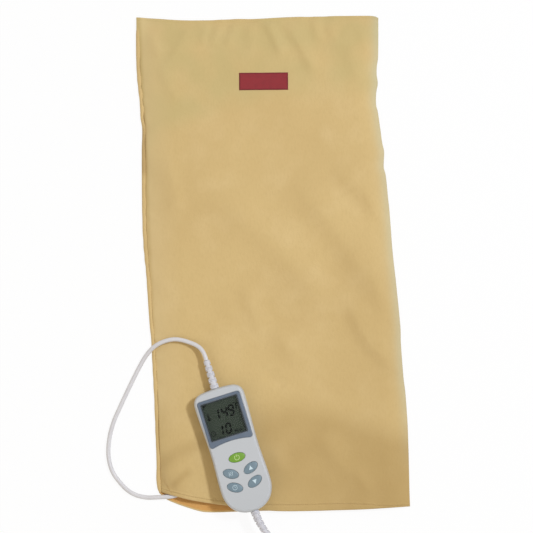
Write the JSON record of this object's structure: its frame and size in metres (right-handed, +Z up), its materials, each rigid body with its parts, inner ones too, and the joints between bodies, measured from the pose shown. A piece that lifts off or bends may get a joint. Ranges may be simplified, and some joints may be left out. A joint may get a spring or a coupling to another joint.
{
  "type": "moist heating pad",
  "caption": "Flat flannel-covered moist heating pad with a wired hand control, display, press keys and a mains lead.",
  "frame": {"origin": "middle of the cover's underside, on the surface it lies on", "axes": "+Y along the cover to the label end, +X to the right seen from above with the label end away, +Z up"},
  "size_m": [0.4213, 0.8687, 0.039],
  "materials": {
    "flannel": "soft brushed flannel, tan",
    "lining": "plain woven lining, darker tan",
    "label_weave": "woven ribbon, dark red, bare",
    "vinyl": "flexible vinyl sheet, off-white",
    "felt": "needled felt, white",
    "silicone": "matte light grey elastomer",
    "case_plastic": "fine satin moulding, pale grey",
    "bezel_plastic": "satin slate blue",
    "display_lens": "clear polished window",
    "display_glass": "dark olive-grey display",
    "board_green": "solder-masked laminate",
    "dark_plastic": "moulded, near black",
    "copper": "bare copper wire",
    "steel": "zinc-plated steel",
    "brass": "stamped brass blade",
    "key_green": "satin leaf green key",
    "key_blue": "satin grey-blue key",
    "lead_plastic": "flexible cable jacket, pale grey",
    "strap": "plain woven strap, near black"
  },
  "bodies": {
    "pad": {"cover_front_panel": "flannel", "cover_mouth_band": "flannel", "cover_back_panel": "lining", "cover_label": "label_weave", "pad_upper_sheet": "vinyl", "pad_lower_sheet": "vinyl", "pad_lower_felt": "felt", "pad_upper_felt": "felt", "heating_wire": "copper", "thermostat_1": "dark_plastic", "thermostat_2": "dark_plastic", "thermal_fuse": "steel", "pad_gland": "silicone", "pad_lead": "lead_plastic", "mains_lead": "lead_plastic", "mains_lead_tail": "lead_plastic", "mains_lead_coil": "lead_plastic", "coil_tie": "strap", "plug_body": "lead_plastic", "plug_blade_narrow": "brass", "plug_blade_wide": "brass"},
    "hand_control": {"upper_case": "case_plastic", "lower_case": "case_plastic", "case_screw_1": "steel", "case_screw_2": "steel", "case_screw_3": "steel", "case_screw_4": "steel", "display_bezel": "bezel_plastic", "display_lens": "display_lens", "display_panel": "display_glass", "display_light_guide": "vinyl", "circuit_board": "board_green", "power_relay": "dark_plastic", "dropper_capacitor": "bezel_plastic", "controller_chip": "dark_plastic", "buzzer": "dark_plastic", "board_fuse": "steel", "key_mat": "silicone", "upper_strain_relief": "silicone", "lower_strain_relief": "silicone", "pad_lead_core_1": "copper", "pad_lead_core_2": "copper", "pad_lead_core_3": "copper", "mains_lead_core_1": "copper", "mains_lead_core_2": "copper"},
    "power_key": {"key_power": "key_green"},
    "heat_key": {"key_heat": "key_blue"},
    "timer_key": {"key_timer": "key_blue"},
    "up_key": {"key_up": "key_blue"},
    "down_key": {"key_down": "key_blue"}
  },
  "joints": [
    {"name": "hand_control_lift", "type": "slide", "parent": "pad", "child": "hand_control", "axis": [0, 0, 1], "range_m": [0, 0.05]},
    {"name": "power_key_press", "type": "slide", "parent": "hand_control", "child": "power_key", "axis": [0, 0, -1], "range_m": [0, 0.0008], "stiffness_N_per_m": 1500, "springref_m": -0.0003},
    {"name": "heat_key_press", "type": "slide", "parent": "hand_control", "child": "heat_key", "axis": [0, 0, -1], "range_m": [0, 0.0008], "stiffness_N_per_m": 1500, "springref_m": -0.0003},
    {"name": "timer_key_press", "type": "slide", "parent": "hand_control", "child": "timer_key", "axis": [0, 0, -1], "range_m": [0, 0.0008], "stiffness_N_per_m": 1500, "springref_m": -0.0003},
    {"name": "up_key_press", "type": "slide", "parent": "hand_control", "child": "up_key", "axis": [0, 0, -1], "range_m": [0, 0.0008], "stiffness_N_per_m": 1500, "springref_m": -0.0003},
    {"name": "down_key_press", "type": "slide", "parent": "hand_control", "child": "down_key", "axis": [0, 0, -1], "range_m": [0, 0.0008], "stiffness_N_per_m": 1500, "springref_m": -0.0003}
  ]
}
